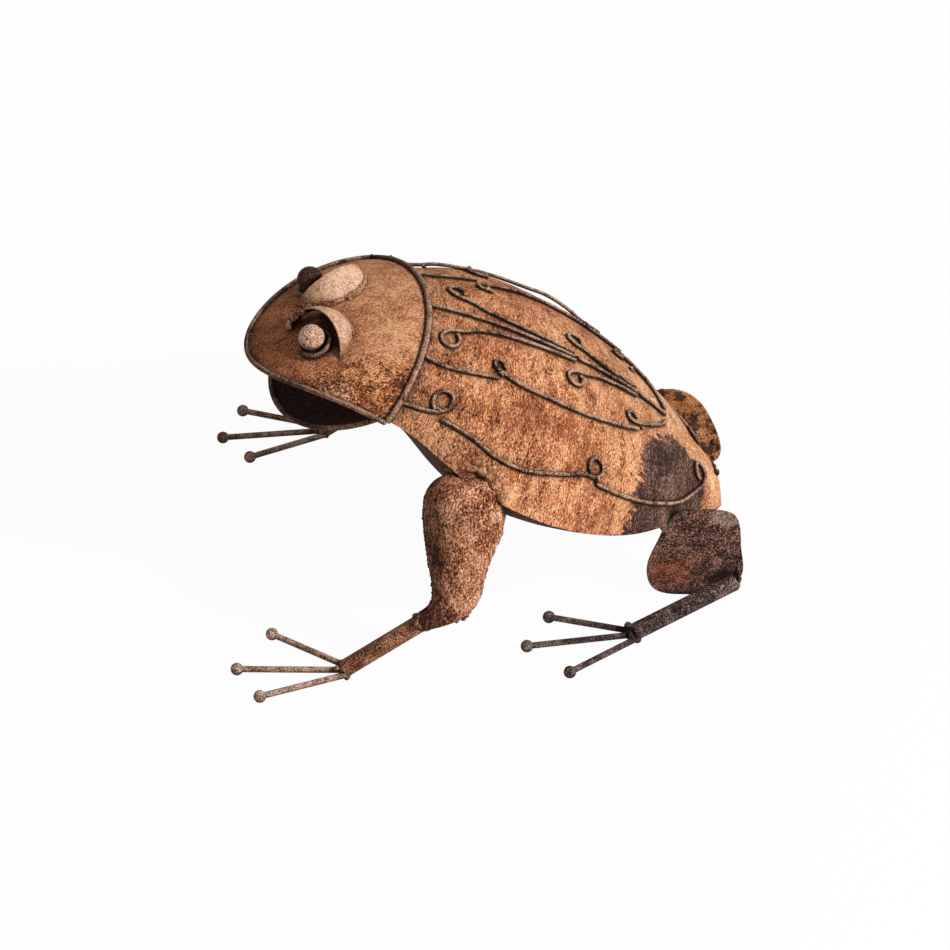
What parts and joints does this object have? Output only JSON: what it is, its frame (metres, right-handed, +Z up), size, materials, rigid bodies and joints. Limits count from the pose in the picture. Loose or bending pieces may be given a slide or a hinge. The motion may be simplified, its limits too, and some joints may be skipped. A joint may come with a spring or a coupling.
{
  "type": "frog figurine",
  "caption": "Sitting garden frog of welded rusted sheet iron with an open mouth, hooded ball eyes, wire scrolls on the back and wire toes with ball tips.",
  "frame": {"origin": "on the ground under the middle of the figure's bounding box", "axes": "+Z up, head towards -Y, tail towards +Y, the frog's left side towards +X"},
  "size_m": [0.3488, 0.4162, 0.2669],
  "materials": {
    "sheet_iron": "rusted pressed sheet iron under a dull clear coat",
    "ornament_wire": "rusted round iron wire, worn paler on top",
    "edge_wire": "rusted round iron wire",
    "leg_tube": "rusted iron tube with ground plugs",
    "ball_and_rod": "rusted steel balls and rod, worn paler"
  },
  "bodies": {
    "root": {"back_shell": "sheet_iron", "belly_pan": "sheet_iron", "head_rim_wire": "edge_wire", "head_shell": "sheet_iron", "jaw_rim_wire": "edge_wire", "left_eye_ball": "ball_and_rod", "left_eye_ring": "edge_wire", "left_eyelid": "sheet_iron", "left_flank_scroll_front": "ornament_wire", "left_flank_scroll_middle": "ornament_wire", "left_flank_scroll_rear": "ornament_wire", "left_forearm": "leg_tube", "left_front_toe_balls": "ball_and_rod", "left_front_toe_inner": "ball_and_rod", "left_front_toe_middle": "ball_and_rod", "left_front_toe_outer": "ball_and_rod", "left_neck_scroll": "ornament_wire", "left_rear_toe_balls": "ball_and_rod", "left_rear_toe_inner": "ball_and_rod", "left_rear_toe_middle": "ball_and_rod", "left_rear_toe_outer": "ball_and_rod", "left_rump_scroll": "ornament_wire", "left_shin": "leg_tube", "left_side_scroll_front": "ornament_wire", "left_side_scroll_middle": "ornament_wire", "left_side_scroll_rear": "ornament_wire", "left_thigh_plate": "sheet_iron", "left_upper_arm_inner": "sheet_iron", "left_upper_arm_outer": "sheet_iron", "lower_jaw": "sheet_iron", "neck_collar": "edge_wire", "right_eye_ball": "ball_and_rod", "right_eye_ring": "edge_wire", "right_eyelid": "sheet_iron", "right_flank_scroll_front": "ornament_wire", "right_flank_scroll_middle": "ornament_wire", "right_flank_scroll_rear": "ornament_wire", "right_forearm": "leg_tube", "right_front_toe_balls": "ball_and_rod", "right_front_toe_inner": "ball_and_rod", "right_front_toe_middle": "ball_and_rod", "right_front_toe_outer": "ball_and_rod", "right_neck_scroll": "ornament_wire", "right_rear_toe_balls": "ball_and_rod", "right_rear_toe_inner": "ball_and_rod", "right_rear_toe_middle": "ball_and_rod", "right_rear_toe_outer": "ball_and_rod", "right_rump_scroll": "ornament_wire", "right_shin": "leg_tube", "right_side_scroll_front": "ornament_wire", "right_side_scroll_middle": "ornament_wire", "right_side_scroll_rear": "ornament_wire", "right_thigh_plate": "sheet_iron", "right_upper_arm_inner": "sheet_iron", "right_upper_arm_outer": "sheet_iron", "spine_wire": "ornament_wire"}
  },
  "joints": []
}
